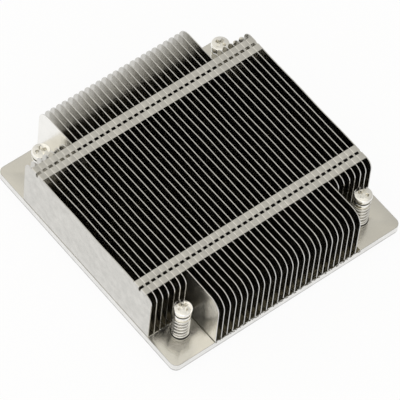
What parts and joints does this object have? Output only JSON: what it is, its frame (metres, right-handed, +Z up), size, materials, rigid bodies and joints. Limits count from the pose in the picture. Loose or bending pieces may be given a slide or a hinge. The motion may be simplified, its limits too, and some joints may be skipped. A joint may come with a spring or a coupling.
{
  "type": "passive server cpu heatsink",
  "caption": "Low passive heatsink: a flat square plate under a stack of thin folded fins locked by slotted strips, with a spring screw in each corner pocket",
  "frame": {"origin": "centre of the base plate's underside, the face that lies on the processor", "axes": "X across the fin stack, Y along the fins, Z up out of the base plate"},
  "size_m": [0.095, 0.095, 0.0277],
  "materials": {
    "plated_base": "satin nickel plating on copper",
    "plated_fin": "satin nickel plating on thin sheet",
    "screw_steel": "bright plated steel",
    "clip_steel": "spring steel",
    "spring_steel": "bright plated wire"
  },
  "bodies": {
    "heatsink": {"base_plate": "plated_base", "fin_01": "plated_fin", "fin_02": "plated_fin", "fin_03": "plated_fin", "fin_04": "plated_fin", "fin_05": "plated_fin", "fin_06": "plated_fin", "fin_07": "plated_fin", "fin_08": "plated_fin", "fin_09": "plated_fin", "fin_10": "plated_fin", "fin_11": "plated_fin", "fin_12": "plated_fin", "fin_13": "plated_fin", "fin_14": "plated_fin", "fin_15": "plated_fin", "fin_16": "plated_fin", "fin_17": "plated_fin", "fin_18": "plated_fin", "fin_19": "plated_fin", "fin_20": "plated_fin", "fin_21": "plated_fin", "fin_22": "plated_fin", "fin_23": "plated_fin", "fin_24": "plated_fin", "fin_25": "plated_fin", "fin_26": "plated_fin", "fin_27": "plated_fin", "fin_28": "plated_fin", "fin_29": "plated_fin", "fin_30": "plated_fin", "fin_31": "plated_fin", "fin_32": "plated_fin", "fin_33": "plated_fin", "fin_34": "plated_fin", "fin_35": "plated_fin", "fin_36": "plated_fin", "fin_37": "plated_fin", "fin_38": "plated_fin", "fin_39": "plated_fin", "fin_40": "plated_fin", "screw_spring_1": "spring_steel", "screw_spring_2": "spring_steel", "screw_spring_3": "spring_steel", "screw_spring_4": "spring_steel"},
    "clip_1": {"screw_clip_1": "clip_steel"},
    "screw_1": {"screw_1": "screw_steel"},
    "clip_2": {"screw_clip_2": "clip_steel"},
    "screw_2": {"screw_2": "screw_steel"},
    "clip_3": {"screw_clip_3": "clip_steel"},
    "screw_3": {"screw_3": "screw_steel"},
    "clip_4": {"screw_clip_4": "clip_steel"},
    "screw_4": {"screw_4": "screw_steel"}
  },
  "joints": [
    {"name": "screw_press_1", "type": "slide", "parent": "heatsink", "child": "clip_1", "axis": [0, 0, -1], "range_m": [0, 0.005], "stiffness_N_per_m": 4000, "springref_m": -0.0015, "deforming": ["screw_spring_1"]},
    {"name": "screw_turn_1", "type": "hinge", "parent": "clip_1", "child": "screw_1", "pos_m": [-0.0375, -0.0375, 0], "axis": [0, 0, 1], "continuous": true},
    {"name": "screw_press_2", "type": "slide", "parent": "heatsink", "child": "clip_2", "axis": [0, 0, -1], "range_m": [0, 0.005], "stiffness_N_per_m": 4000, "springref_m": -0.0015, "deforming": ["screw_spring_2"]},
    {"name": "screw_turn_2", "type": "hinge", "parent": "clip_2", "child": "screw_2", "pos_m": [0.0375, -0.0375, 0], "axis": [0, 0, 1], "continuous": true},
    {"name": "screw_press_3", "type": "slide", "parent": "heatsink", "child": "clip_3", "axis": [0, 0, -1], "range_m": [0, 0.005], "stiffness_N_per_m": 4000, "springref_m": -0.0015, "deforming": ["screw_spring_3"]},
    {"name": "screw_turn_3", "type": "hinge", "parent": "clip_3", "child": "screw_3", "pos_m": [-0.0375, 0.0375, 0], "axis": [0, 0, 1], "continuous": true},
    {"name": "screw_press_4", "type": "slide", "parent": "heatsink", "child": "clip_4", "axis": [0, 0, -1], "range_m": [0, 0.005], "stiffness_N_per_m": 4000, "springref_m": -0.0015, "deforming": ["screw_spring_4"]},
    {"name": "screw_turn_4", "type": "hinge", "parent": "clip_4", "child": "screw_4", "pos_m": [0.0375, 0.0375, 0], "axis": [0, 0, 1], "continuous": true}
  ]
}
